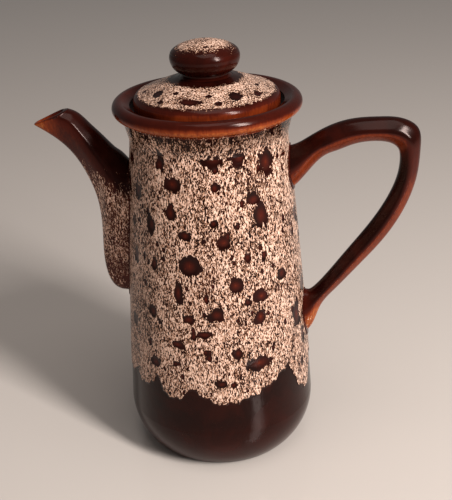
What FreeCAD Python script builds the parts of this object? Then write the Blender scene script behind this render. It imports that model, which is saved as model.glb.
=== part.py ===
# A lidded stoneware coffee pot: turned barrel, cast spout, loop handle and a drop-in lid with a knob.
# Lengths are in millimetres. Z is the barrel's axis, the foot stands on z = 0, the handle points to
# +X and the spout to -X.
import FreeCAD, Part
import math
import os

Vector = FreeCAD.Vector
UP = Vector(0, 0, 1)
ORIGIN = Vector(0, 0, 0)

# Barrel
rim_height = 209.8  # top of the rolled rim above the table
flare_height = 16.8  # from the narrowest part of the neck up to the top of the rim
neck_radius = 42.6
belly_radius = 54.5
belly_height = 27.0
side_bulge = 0.75  # swell of the side beyond a straight taper
foot_inset = 11.6  # how much smaller the foot is than the belly, in radius
foot_edge = 0.8  # small chamfer round the foot
foot_ring_width = 5.5
foot_recess = 1.6  # depth of the hollow under the floor
wall = 5.5
floor_thickness = 7.0

# Rim, gallery and mouth
neck_wall = 6.4
ledge_width = 5.8  # flat seat for the lid
seat_depth = 6.3  # from the top of the rim down to the seat
gallery_slope = 2.6  # drop of the dished top of the rim towards the lid
rim_width = 9.6  # from the wall of the gallery out to the lip
lip_round = 4.0
lip_roll = 20.0  # degrees that the lip rolls inwards past its top
mouth_depth = 12.0  # straight throat below the seat

# Lid
lid_side_gap = 2.2  # between the lid's edge and the gallery
lid_edge = 5.3  # upright part of the lid's edge
lid_edge_round = 3.7
lid_edge_chamfer = 1.0
lid_height = 17.3  # from the seat to the flat under the knob
lid_dome_bulge = 0.9
lid_wall = 5.2
hollow_drop = 2.6  # from the shoulder of the dome down to the corner of the hollow
flange_gap = 1.4  # between the lid's flange and the throat
flange_depth = 8.0
flange_wall = 4.0

# Knob
knob_radius = 18.9
knob_height = 17.5
knob_widest = 9.2  # height of the widest part above the foot of the knob
knob_fullness = 0.41
knob_neck_radius = 12.5
knob_neck_height = 0.8
knob_foot_flare = 1.5  # how far the slip under the knob spreads

# Luting slip and the second coat of glaze
layer_gap = 0.05  # hair gap between the barrel and what lies on it
luting = 1.2  # thickness of the slip between two pieces
luting_spread = 1.3  # how far the slip stands out round a joint
coat = 0.5  # height of the pale glaze over the brown
coat_top_drop = 11.5  # bare band from the top of the rim down to the pale glaze
coat_spout_drop = 36.0  # end of the pale glaze on the spout, below the neck
lid_coat_inner = 18.0
lid_coat_edge_gap = 0.8  # bare strip between the pale glaze and the rounded edge of the lid
knob_coat_radius = 15.0

# Strainer behind the spout
strainer_hole = 5.0
strainer_ring = 7.0  # radius of the ring of holes
strainer_count = 6
strainer_drop = 58.0  # centre of the strainer below the neck

# Spout, as sections from its upper line to its lower line. Each end of a section is given by its
# stand-off from the barrel and its drop below the neck, then come the full width and the wall.
spout_shoulder = 0.74  # place of the widest line across a section, from lower to upper
spout_fullness = 0.36  # 0.41 is an oval section, less is nearer to a diamond
spout_sections = [
    ((-7.5, 26.5), (-11.0, 102.0), 31.0, 4.5),
    ((0.3, 21.8), (7.9, 99.2), 30.0, 4.5),
    ((5.1, 16.8), (14.6, 87.5), 28.0, 4.4),
    ((9.5, 13.4), (16.4, 66.0), 25.5, 4.2),
    ((13.8, 9.3), (18.9, 44.5), 22.5, 4.0),
    ((18.7, 4.3), (24.4, 30.0), 20.0, 3.7),
    ((24.6, -1.4), (33.1, 16.2), 17.5, 3.4),
    ((30.7, -7.0), (43.0, 7.0), 15.5, 3.0),
    ((37.2, -9.6), (56.3, -1.2), 13.5, 2.6),
]

# Handle, as sections from its inner line to its outer line in the same terms, with the full width.
handle_shoulder = 0.5
handle_fullness = 0.36
handle_sections = [
    ((-11.0, 41.0), (-9.0, 14.0), 19.0),
    ((1.3, 34.5), (1.3, 11.7), 17.5),
    ((14.2, 21.2), (8.5, 8.6), 16.0),
    ((25.7, 14.4), (20.6, 1.8), 16.0),
    ((36.5, 10.4), (34.9, -3.0), 16.0),
    ((49.2, 9.0), (50.5, -4.2), 15.8),
    ((55.7, 10.4), (63.1, -3.0), 15.5),
    ((58.2, 12.4), (70.3, 2.1), 15.2),
    ((59.4, 15.6), (70.9, 12.5), 14.8),
    ((58.1, 26.2), (68.3, 28.0), 14.4),
    ((51.2, 41.8), (60.9, 46.7), 14.0),
    ((40.0, 58.1), (48.9, 65.1), 13.6),
    ((24.7, 76.6), (32.9, 83.1), 13.2),
    ((10.8, 93.1), (17.9, 99.1), 13.2),
    ((3.7, 99.6), (9.1, 110.2), 14.5),
    ((-0.1, 99.4), (2.1, 124.0), 16.5),
    ((-11.0, 102.0), (-9.0, 133.0), 18.0),
]

# Lower edge of the pale glaze: degrees round from the handle, and height above the table.
drip_edge = [
    (-155, 52), (-137, 49), (-124, 59), (-113, 48), (-99, 56.5), (-80, 47), (-57, 51), (-35, 61),
    (-17, 46), (-2, 55), (10, 49), (25, 60), (42, 47), (57, 57), (73, 50), (90, 61), (107, 46),
    (124, 56), (140, 49), (157, 60), (172, 47), (188, 57),
]

# Sizes that follow from the ones above.
neck_height = rim_height - flare_height
seat_height = rim_height - seat_depth
mouth_radius = neck_radius - neck_wall
gallery_radius = mouth_radius + ledge_width
rim_radius = gallery_radius + rim_width
lip_center = (rim_radius - lip_round, rim_height - lip_round)
lid_radius = gallery_radius - lid_side_gap
flange_radius = mouth_radius - flange_gap
lid_top = seat_height + lid_height
knob_pad_radius = knob_neck_radius + knob_foot_flare
knob_bottom = lid_top + luting
knob_top = knob_bottom + knob_height
base_round = (foot_inset ** 2 + belly_height ** 2) / (2 * foot_inset)
neck_to_lip = neck_radius - lip_center[0]
flare_round = (neck_to_lip ** 2 + (lip_center[1] - neck_height) ** 2 - lip_round ** 2) / (
    2 * (lip_round - neck_to_lip))
flare_center = (neck_radius + flare_round, neck_height)
flare_angle = math.atan2(lip_center[1] - flare_center[1], lip_center[0] - flare_center[0])
clear_radius = 2 * rim_height  # well outside everything


def at(point):
    """The place of a (radius, height) pair in the XZ plane."""
    return Vector(point[0], 0, point[1])


def line(start, end):
    """A straight edge between two (radius, height) pairs."""
    return Part.LineSegment(at(start), at(end)).toShape()


def arc(start, middle, end):
    """A circular edge through three (radius, height) pairs."""
    return Part.Arc(at(start), at(middle), at(end)).toShape()


def on_circle(center, radius, angle):
    """The (radius, height) pair at an angle on a circle."""
    return (center[0] + radius * math.cos(angle), center[1] + radius * math.sin(angle))


def arc_about(center, radius, start_angle, end_angle):
    """A circular edge about a centre, from one angle to another."""
    middle_angle = (start_angle + end_angle) / 2
    return arc(*[on_circle(center, radius, a) for a in (start_angle, middle_angle, end_angle)])


def bulged(start, end, bulge):
    """The middle of a straight run, pushed out from the axis by a bulge."""
    return ((start[0] + end[0]) / 2 + bulge, (start[1] + end[1]) / 2)


def turned(edges):
    """The solid that a closed chain of edges sweeps about the barrel's axis."""
    face = Part.Face(Part.Wire(edges))
    return face.revolve(ORIGIN, UP, 360)


def barrel_radius(height):
    """Outer radius of the barrel's side at a height."""
    share = (height - belly_height) / (neck_height - belly_height)
    straight = belly_radius + (neck_radius - belly_radius) * share
    return straight + 4 * side_bulge * share * (1 - share)


def base_angle(extra, height):
    """Angle on the rounded base at a height, for a base grown by an extra thickness."""
    return -math.asin((belly_height - height) / (base_round + extra))


def outer_edges(extra):
    """The barrel's outside from the foot to the end of the flare, grown by an extra thickness."""
    base_center = (belly_radius - base_round, belly_height)
    belly = (belly_radius + extra, belly_height)
    neck = (neck_radius + extra, neck_height)
    return [
        arc_about(base_center, base_round + extra, base_angle(extra, foot_edge), 0),
        arc(belly, bulged(belly, neck, side_bulge), neck),
        arc_about(flare_center, flare_round - extra, math.pi, flare_angle),
    ]


def end_of(edge):
    """The (radius, height) pair at the end of an edge."""
    point = edge.valueAt(edge.LastParameter)
    return (point.x, point.z)


def start_of(edge):
    """The (radius, height) pair at the start of an edge."""
    point = edge.valueAt(edge.FirstParameter)
    return (point.x, point.z)


def barrel_core(extra):
    """The barrel below its lip as one full solid, grown by an extra thickness."""
    outside = outer_edges(extra)
    bottom, top = start_of(outside[0]), end_of(outside[-1])
    return turned([line((0, bottom[1]), bottom)] + outside
                  + [line(top, (0, top[1])), line((0, top[1]), (0, bottom[1]))])


def barrel_skin(inner, outer):
    """A layer on the outside of the barrel, from one distance above its surface to another."""
    return barrel_core(outer).cut(barrel_core(inner))


def strainer_holes():
    """The pierced holes through the wall behind the spout, one in the middle and a ring round it."""
    height = neck_height - strainer_drop
    places = [(0, 0)]
    for i in range(strainer_count):
        angle = 2 * math.pi * i / strainer_count
        places.append((strainer_ring * math.sin(angle), strainer_ring * math.cos(angle)))
    holes = []
    for across, rise in places:
        start = Vector(-belly_radius, across, height + rise)
        holes.append(Part.makeCylinder(strainer_hole / 2, belly_radius, start, Vector(1, 0, 0)))
    return holes


def make_pot_body():
    """Turned barrel with rolled rim, lid gallery, throat, floor, foot ring and strainer holes."""
    outside = outer_edges(0)
    lip_end_angle = math.pi / 2 + math.radians(lip_roll)
    lip = arc_about(lip_center, lip_round, flare_angle - math.pi, lip_end_angle)
    inner_round = base_round - wall
    base_center = (belly_radius - base_round, belly_height)
    floor_angle = -math.asin((belly_height - floor_thickness) / inner_round)
    floor_edge = on_circle(base_center, inner_round, floor_angle)
    belly = (belly_radius - wall, belly_height)
    throat = (mouth_radius, seat_height - mouth_depth)
    foot_outer = start_of(outside[0])
    foot_flat = (foot_outer[0] - foot_edge, 0)
    ring_inner = (foot_flat[0] - foot_ring_width, 0)
    recess_edge = (ring_inner[0] - foot_recess, foot_recess)
    gallery_top = (gallery_radius, rim_height - gallery_slope)
    gallery_bottom = (gallery_radius, seat_height)
    ledge_inner = (mouth_radius, seat_height)
    chain = [line(ring_inner, foot_flat), line(foot_flat, foot_outer)] + outside + [
        lip,
        line(end_of(lip), gallery_top),
        line(gallery_top, gallery_bottom),
        line(gallery_bottom, ledge_inner),
        line(ledge_inner, throat),
        arc(throat, bulged(throat, belly, side_bulge), belly),
        arc_about(base_center, inner_round, 0, floor_angle),
        line(floor_edge, (0, floor_thickness)),
        line((0, floor_thickness), (0, foot_recess)),
        line((0, foot_recess), recess_edge),
        line(recess_edge, ring_inner),
    ]
    return turned(chain).cut(strainer_holes())


def place(station, side):
    """The point at a (stand-off from the barrel, drop below the neck) pair on the +X or -X side."""
    height = neck_height - station[1]
    return Vector(side * (barrel_radius(height) + station[0]), 0, height)


def bend(start, corner, end):
    """An arc between two points that lie equally far from the corner of their tangents."""
    back = start - corner
    reach = back.Length
    half = back.getAngle(end - corner) / 2
    inward = (start + end - corner * 2).normalize()
    middle = corner + inward * (reach / math.cos(half) - reach * math.tan(half))
    return Part.Arc(start, middle, end).toShape()


def quarter(start, corner, end, fullness):
    """A quarter of a section: an arc, a flat and an arc, tangent to the sides of its corner."""
    first = start + (corner - start) * fullness
    last = end + (corner - end) * fullness
    flat = (last - first).normalize()
    flat_start = first + flat * (first - start).Length
    flat_end = last - flat * (end - last).Length
    return [bend(start, first, flat_start), Part.LineSegment(flat_start, flat_end).toShape(),
            bend(flat_end, last, end)]


def section(lower, upper, width, shoulder, fullness, grow):
    """A smooth closed section between two points, widest at its shoulder and grown all round."""
    along = (upper - lower).normalize() * grow
    widest = lower + (upper - lower) * shoulder
    across = Vector(0, width / 2 + grow, 0)
    low, high = lower - along, upper + along
    extremes = [low, widest + across, high, widest - across]
    corners = [low + across, high + across, high - across, low - across]
    edges = []
    for i, corner in enumerate(corners):
        edges += quarter(extremes[i], corner, extremes[(i + 1) % len(extremes)], fullness)
    return Part.Wire(edges)


def spout_form(grow):
    """The spout's full outer form, grown all round."""
    wires = []
    for upper, lower, width, _ in spout_sections:
        wires.append(section(place(lower, -1), place(upper, -1), width, spout_shoulder, spout_fullness, grow))
    return Part.makeLoft(wires, True, False)


def spout_bore():
    """The channel inside the spout, run on past the mouth so that it cuts clean through."""
    wires = []
    for upper, lower, width, thickness in spout_sections:
        wires.append(section(place(lower, -1), place(upper, -1), width, spout_shoulder, spout_fullness,
                             -thickness))
    mouth_upper, mouth_lower = [place(end, -1) for end in spout_sections[-1][:2]]
    outward = (mouth_upper - mouth_lower).cross(Vector(0, 1, 0)).normalize() * wall
    beyond = wires[-1].copy()
    beyond.translate(outward)
    return Part.makeLoft(wires, True, False).fuse(Part.makeLoft([wires[-1], beyond], True, True))


def handle_form(grow):
    """The handle's full form from inside the barrel and back, grown all round."""
    wires = []
    for inner, outer, width in handle_sections:
        wires.append(section(place(inner, 1), place(outer, 1), width, handle_shoulder, handle_fullness, grow))
    return Part.makeLoft(wires, True, False)


def make_spout():
    """The hollow spout, cut to the barrel with room for the slip."""
    return spout_form(0).cut([spout_bore(), barrel_core(luting)])


def make_spout_luting():
    """The collar of slip between the spout and the barrel."""
    return barrel_skin(layer_gap, luting).common(spout_form(luting_spread)).cut(spout_bore())


def make_handle():
    """The loop handle, cut to the barrel with room for the slip."""
    return handle_form(0).cut(barrel_core(luting))


def make_handle_lutings():
    """The two pads of slip under the handle's ends, the lower one first."""
    pads = barrel_skin(layer_gap, luting).common(handle_form(luting_spread)).Solids
    return sorted(pads, key=lambda pad: pad.CenterOfMass.z)


def lid_edge_top():
    """The point where the rounded edge of the lid meets its dome."""
    return (lid_radius - lid_edge_round, seat_height + lid_edge + lid_edge_round)


def make_lid():
    """The lid with its upright edge, dome, flat for the knob and hollow flange."""
    edge_bottom = (lid_radius - lid_edge_chamfer, seat_height)
    edge_low = (lid_radius, seat_height + lid_edge_chamfer)
    edge_high = (lid_radius, seat_height + lid_edge)
    dome_low = lid_edge_top()
    dome_high = (knob_pad_radius, lid_top)
    flange_top = (flange_radius, seat_height)
    flange_bottom = (flange_radius, seat_height - flange_depth)
    hollow_low = (flange_radius - flange_wall, flange_bottom[1])
    hollow_high = (hollow_low[0], dome_low[1] - hollow_drop)
    ceiling = (knob_pad_radius, lid_top - lid_wall)
    edge_center = (lid_radius - lid_edge_round, edge_high[1])
    return turned([
        line(flange_bottom, flange_top),
        line(flange_top, edge_bottom),
        line(edge_bottom, edge_low),
        line(edge_low, edge_high),
        arc_about(edge_center, lid_edge_round, 0, math.pi / 2),
        arc(dome_low, bulged(dome_low, dome_high, lid_dome_bulge), dome_high),
        line(dome_high, (0, lid_top)),
        line((0, lid_top), (0, ceiling[1])),
        line((0, ceiling[1]), ceiling),
        line(ceiling, hollow_high),
        line(hollow_high, hollow_low),
        line(hollow_low, flange_bottom),
    ])


def make_knob_luting():
    """The flared ring of slip under the knob."""
    foot = (knob_pad_radius, lid_top)
    top = (knob_neck_radius, knob_bottom)
    return turned([line((0, lid_top), foot), line(foot, top), line(top, (0, knob_bottom)),
                   line((0, knob_bottom), (0, lid_top))])


def knob_upper_edges(extra):
    """The knob's outline from its widest line up to the axis, grown by an extra thickness."""
    side = (knob_radius + extra, knob_bottom + knob_widest)
    top = (0, knob_top + extra)
    return quarter(at(side), at((side[0], top[1])), at(top), knob_fullness)


def knob_dome(extra):
    """The upper half of the knob as a full solid, grown by an extra thickness."""
    outline = knob_upper_edges(extra)
    side, top = start_of(outline[0]), end_of(outline[-1])
    middle = (0, side[1])
    return turned(outline + [line(top, middle), line(middle, side)])


def make_knob():
    """The flattened round knob on its short neck."""
    neck_low = (knob_neck_radius, knob_bottom)
    neck_high = (knob_neck_radius, knob_bottom + knob_neck_height)
    widest = (knob_radius, knob_bottom + knob_widest)
    spread = widest[0] - neck_high[0]
    drop = widest[1] - neck_high[1]
    under_round = (spread ** 2 + drop ** 2) / (2 * spread)
    under_center = (knob_radius - under_round, widest[1])
    under_angle = math.atan2(-drop, neck_high[0] - under_center[0])
    return turned([
        line((0, knob_bottom), neck_low),
        line(neck_low, neck_high),
        arc_about(under_center, under_round, under_angle, 0),
        *knob_upper_edges(0),
        line((0, knob_top), (0, knob_bottom)),
    ])


def make_glaze_coat_body():
    """The pale glaze on the barrel, from under the rim to its dripping lower edge."""
    points = [(math.radians(angle), height) for angle, height in drip_edge]
    rings = []
    for radius in (neck_radius / 2, belly_radius + wall):
        curve = Part.BSplineCurve()
        curve.interpolate(Points=[Vector(radius * math.cos(a), radius * math.sin(a), z) for a, z in points],
                          PeriodicFlag=True)
        rings.append(curve.toShape())
    below = Part.makeRuledSurface(*rings).extrude(Vector(0, 0, -rim_height))
    above = Part.makeCylinder(clear_radius, rim_height, Vector(0, 0, rim_height - coat_top_drop))
    joints = [form(luting_spread + layer_gap) for form in (spout_form, handle_form)]
    return barrel_skin(layer_gap, coat).cut([below, above] + joints)


def make_glaze_coat_spout():
    """The pale glaze on the lower part of the spout."""
    above = Part.makeCylinder(clear_radius, rim_height, Vector(0, 0, neck_height - coat_spout_drop))
    return spout_form(coat).cut([spout_form(layer_gap), spout_bore(), barrel_core(luting + layer_gap), above])


def make_glaze_coat_lid(lid):
    """The ring of pale glaze on the lid's dome."""
    raised = lid.copy()
    raised.translate(Vector(0, 0, coat))
    outer_radius = lid_edge_top()[0] - lid_coat_edge_gap
    outer = Part.makeCylinder(outer_radius, rim_height, Vector(0, 0, seat_height))
    inner = Part.makeCylinder(lid_coat_inner, rim_height, Vector(0, 0, seat_height))
    return raised.common(outer.cut(inner)).cut(lid)


def make_glaze_coat_knob():
    """The cap of pale glaze on the top of the knob."""
    cap = Part.makeCylinder(knob_coat_radius, knob_height, Vector(0, 0, knob_bottom + knob_widest))
    return knob_dome(coat).cut(knob_dome(0)).common(cap)


def build():
    """Every piece of the pot by its name."""
    lower_luting, upper_luting = make_handle_lutings()
    lid = make_lid()
    return {
        "pot_body": make_pot_body(),
        "spout": make_spout(),
        "spout_luting": make_spout_luting(),
        "handle": make_handle(),
        "handle_upper_luting": upper_luting,
        "handle_lower_luting": lower_luting,
        "lid": lid,
        "lid_knob": make_knob(),
        "knob_luting": make_knob_luting(),
        "glaze_coat_body": make_glaze_coat_body(),
        "glaze_coat_spout": make_glaze_coat_spout(),
        "glaze_coat_lid": make_glaze_coat_lid(lid),
        "glaze_coat_knob": make_glaze_coat_knob(),
    }


os.makedirs("parts", exist_ok=True)
for name, shape in build().items():
    shape.exportStep(f"parts/{name}.step")
    box = shape.BoundBox
    print(f"{name}: {len(shape.Solids)} solid, valid {shape.isValid()}, {shape.Volume:.0f} mm3, "
          f"x {box.XMin:.1f} to {box.XMax:.1f}, z {box.ZMin:.1f} to {box.ZMax:.1f}")
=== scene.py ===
import logging
import math
from dataclasses import dataclass, field
from enum import Enum
from itertools import starmap
from typing import Callable, NamedTuple, Sequence

import bmesh
import bpy
import numpy as np
from mathutils import Matrix, Vector


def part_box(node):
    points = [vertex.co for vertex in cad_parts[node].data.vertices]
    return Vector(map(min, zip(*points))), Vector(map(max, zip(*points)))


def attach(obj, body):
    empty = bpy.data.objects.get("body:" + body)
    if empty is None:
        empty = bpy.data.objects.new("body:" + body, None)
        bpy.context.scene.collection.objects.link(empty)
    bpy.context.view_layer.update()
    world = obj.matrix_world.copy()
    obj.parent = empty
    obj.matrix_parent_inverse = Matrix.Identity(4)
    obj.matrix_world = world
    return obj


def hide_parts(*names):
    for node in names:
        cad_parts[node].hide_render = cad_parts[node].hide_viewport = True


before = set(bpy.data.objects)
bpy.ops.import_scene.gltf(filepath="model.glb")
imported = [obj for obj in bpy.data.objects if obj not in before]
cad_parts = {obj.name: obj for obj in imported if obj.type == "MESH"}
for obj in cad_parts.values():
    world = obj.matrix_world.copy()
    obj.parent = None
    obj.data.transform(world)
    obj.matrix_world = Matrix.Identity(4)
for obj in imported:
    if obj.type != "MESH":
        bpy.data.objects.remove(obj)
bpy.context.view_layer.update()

LOG = logging.getLogger("coffee_pot")
MM = 0.001
FULL_TURN = 2 * math.pi
MERGE_DISTANCE = 1e-7
FLAT_SHARES = (0.0, 0.33, 0.67)
EDGE_COVER = 0.5
SPOT_DIP = 0.5
SPOT_EDGE = (0.45, 0.65)

Array = np.ndarray
Material = bpy.types.Material
Node = bpy.types.Node
Piece = bpy.types.Object
Socket = bpy.types.NodeSocket
Tree = bpy.types.NodeTree
Points = Sequence[Vector]
Pair = tuple[float, float]
Triple = tuple[float, float, float]
Colour = tuple[float, float, float, float]


class Body(Enum):
    """The rigid bodies that a piece can ride on."""

    POT = "pot"
    LID = "lid"


class Slot(Enum):
    """The record's material slots."""

    BROWN = "brown_glaze"
    HONEYCOMB = "honeycomb_glaze"


class Station(NamedTuple):
    """A section of the spout or handle, in millimetres.

    Each end is a stand-off from the barrel and a drop below the neck. The wall is zero where the
    piece is solid. The shoulder is the share of the way from the far end at which the section is
    widest, and the ridge says how softly the flats meet there.
    """

    near: Pair
    far: Pair
    width: float
    wall: float = 0.0
    shoulder: float = 0.5
    ridge: float = 0.2


class Spot(NamedTuple):
    """A bare spot in the honeycomb glaze: degrees round from the handle, then millimetres.

    Its place is a height on the barrel, or a distance from the axis on the lid.
    """

    degrees: float
    place: float
    width: float
    tall: float


class Lobe(NamedTuple):
    """A hanging lobe of glaze: its left peak, then its lowest point, in degrees and millimetres."""

    peak_degrees: float
    peak_height: float
    low_degrees: float
    low_height: float


class Scatter(NamedTuple):
    """A seeded strew of bare spots: how many, and a start and a spread for each of their measures.

    The tallness is a share of the width, and a higher power makes more of the spots narrow.
    """

    count: int
    degrees: Pair
    height: Pair
    width: Pair
    tallness: Pair
    power: int


class Noise(NamedTuple):
    """A noise: cells per metre, octaves, how far it is twisted, and its scale along the pot's axis."""

    scale: float
    detail: float = 2.0
    twist: float = 0.0
    tall: float = 1.0


class Fade(NamedTuple):
    """A smooth rise from 0 at start, which may be the larger, to an amount at end."""

    start: float
    end: float
    amount: float = 1.0

    def of(self, values: Array) -> Array:
        """The amount at each value."""
        return self.amount * smooth_step(values, self.start, self.end)


class Lamp(NamedTuple):
    """A soft rectangular lamp: its place, width and height, power in watts, and colour."""

    name: str
    place: Triple
    size: Pair
    power: float
    colour: Triple


def smooth_step(value: Array, low: float, high: float) -> Array:
    """Rises smoothly from 0 at low to 1 at high, or falls where low is the larger."""
    share = np.clip((value - low) / (high - low), 0.0, 1.0)
    return share * share * (3 - 2 * share)


def natural_spline(knots: Array, rows: Array, places: Array) -> Array:
    """Runs a natural cubic spline through rows of values.

    Args:
        knots: The rising parameter of each row.
        rows: One row of values per knot.
        places: The parameters to read the spline at.

    Returns:
        One row of values per place.
    """
    gaps = np.diff(knots)
    slopes = np.diff(rows, axis=0) / gaps[:, None]
    count = len(knots)
    system = np.eye(count)
    right = np.zeros_like(rows)
    for i in range(1, count - 1):
        system[i, i - 1:i + 2] = gaps[i - 1], 2 * (gaps[i - 1] + gaps[i]), gaps[i]
        right[i] = 6 * (slopes[i] - slopes[i - 1])
    bends = np.linalg.solve(system, right)
    span = np.clip(np.searchsorted(knots, places, side="right") - 1, 0, count - 2)
    gap = gaps[span][:, None]
    back = (knots[span + 1] - places)[:, None]
    ahead = (places - knots[span])[:, None]
    curve = (bends[span] * back ** 3 + bends[span + 1] * ahead ** 3) / (6 * gap)
    start = (rows[span] / gap - bends[span] * gap / 6) * back
    end = (rows[span + 1] / gap - bends[span + 1] * gap / 6) * ahead
    return curve + start + end


def quadratic(start: Vector, corner: Vector, end: Vector, steps: int) -> list[Vector]:
    """Points on a curve from start up to, but not including, end, whose tangents meet at the corner."""
    shares = (i / steps for i in range(steps))
    return [start * (1 - t) ** 2 + corner * (2 * t * (1 - t)) + end * t ** 2 for t in shares]


def quarter(start: Vector, corner: Vector, end: Vector, bends: Pair, steps: int) -> list[Vector]:
    """Points on a quarter of a section: a bend, a flat and a bend, without the last one.

    Args:
        start: Where the quarter begins.
        corner: Where the tangents at its ends meet.
        end: Where the quarter ends.
        bends: How far towards the corner the bends at start and end reach.
        steps: How many points each bend has.

    Returns:
        The points from start up to, but not including, end.
    """
    first = start + (corner - start) * bends[0]
    last = end + (corner - end) * bends[1]
    flat = (last - first).normalized()
    flat_start = first + flat * (first - start).length
    flat_end = last - flat * (end - last).length
    points = quadratic(start, first, flat_start, steps)
    points += [flat_start.lerp(flat_end, share) for share in FLAT_SHARES]
    return points + quadratic(flat_end, last, end, steps)


def turned_skin(name: str, outline: Points, closed: bool, around: int) -> Piece:
    """Spins an outline about the pot's axis.

    Args:
        name: The piece's name.
        outline: The outline's points in metres.
        closed: Whether the last point joins the first.
        around: Steps in the full turn.

    Returns:
        The piece.
    """
    bm = bmesh.new()
    verts = [bm.verts.new(point) for point in outline]
    start = 0 if closed else 1
    edges = [bm.edges.new((verts[i - 1], verts[i])) for i in range(start, len(verts))]
    bmesh.ops.spin(bm, geom=verts + edges, axis=(0, 0, 1), cent=(0, 0, 0), angle=FULL_TURN,
                   steps=around, use_merge=True)
    return piece_from(name, bm)


def spot_depth(spots: Sequence[Spot], degrees: Array, places: Array,
               arms: Array) -> Array:
    """How far into a bare spot each place lies.

    Args:
        spots: The spots.
        degrees: Angles round from the handle.
        places: Heights on the barrel, or radii on the lid, in millimetres.
        arms: Distances from the axis, in millimetres.

    Returns:
        1 in the middle of a spot, 0.5 at its edge and 0 well outside.
    """
    depth = np.zeros_like(places)
    for spot in spots:
        turn = np.radians((degrees - spot.degrees + 180) % 360 - 180)
        across = turn * arms / (spot.width / 2)
        along = (places - spot.place) / (spot.tall / 2)
        depth = np.maximum(depth, 1 - np.hypot(across, along) / 2)
    return np.clip(depth, 0, 1)


def coat_share(cover: Array, spot: Array, edge: Pair) -> Array:
    """How near the honeycomb glaze comes to its full thickness, by its cover and bare spots."""
    return smooth_step(cover, *edge) * (1 - SPOT_DIP * smooth_step(spot, *SPOT_EDGE))


def piece_from(name: str, bm: bmesh.types.BMesh) -> Piece:
    """Turns a finished bmesh into a smooth-shaded object in the scene.

    Args:
        name: The piece's name.
        bm: The bmesh, which is freed.

    Returns:
        The new object, at the origin.
    """
    bmesh.ops.remove_doubles(bm, verts=bm.verts, dist=MERGE_DISTANCE)
    bmesh.ops.recalc_face_normals(bm, faces=bm.faces)
    mesh = bpy.data.meshes.new(name)
    bm.to_mesh(mesh)
    bm.free()
    mesh.shade_smooth()
    piece = bpy.data.objects.new(name, mesh)
    bpy.context.scene.collection.objects.link(piece)
    return piece


def rows_of(items: bpy.types.bpy_prop_collection, name: str) -> Array:
    """Reads a vector from each item of a mesh.

    Args:
        items: The mesh's vertices or vertex normals.
        name: The vector's property.

    Returns:
        Rows of x, y and z.
    """
    values = np.empty(len(items) * 3)
    items.foreach_get(name, values)
    return values.reshape(-1, 3)


def corners_of(piece: Piece) -> Array:
    """The piece's vertex places as rows of x, y and z."""
    return rows_of(piece.data.vertices, "co")


def normals_of(piece: Piece) -> Array:
    """The piece's vertex normals as rows of x, y and z."""
    return rows_of(piece.data.vertex_normals, "vector")


def polar(places: Array) -> tuple[Array, Array]:
    """Angles round from the handle in degrees, and distances from the axis."""
    return np.degrees(np.arctan2(places[:, 1], places[:, 0])), np.hypot(places[:, 0], places[:, 1])


def move_corners(piece: Piece, places: Array) -> None:
    """Puts the piece's vertices at new places."""
    piece.data.vertices.foreach_set("co", places.ravel())
    piece.data.update()


def paint(piece: Piece, **layers: Array) -> None:
    """Stores one number per vertex under each attribute's name.

    Args:
        piece: The piece to paint.
        layers: The numbers, by attribute.
    """
    for name, values in layers.items():
        layer = piece.data.attributes.new(name, "FLOAT", "POINT")
        layer.data.foreach_set("value", values.astype(np.float32))


def settle(piece: Piece, body: Body, slot: Slot, material: Material,
           *nodes: str) -> None:
    """Gives a new piece its finish, the body it rides on and the nodes it stands for.

    Args:
        piece: The new piece.
        body: The body it moves with.
        slot: The record's slot for its finish; not used.
        material: Its material.
        nodes: The nodes that it replaces.
    """
    piece.data.materials.append(material)
    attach(piece, body.value)
    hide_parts(*nodes)
    LOG.info("%s: %d vertices, stands for %s", piece.name, len(piece.data.vertices), ", ".join(nodes))


def dress_node(node: str, material: Material) -> None:
    """Gives a node of the frame its material.

    Args:
        node: The node's name.
        material: The material that takes the place of its own.
    """
    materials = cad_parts[node].data.materials
    materials.clear()
    materials.append(material)
    LOG.info("%s: dressed as it is", node)


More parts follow.
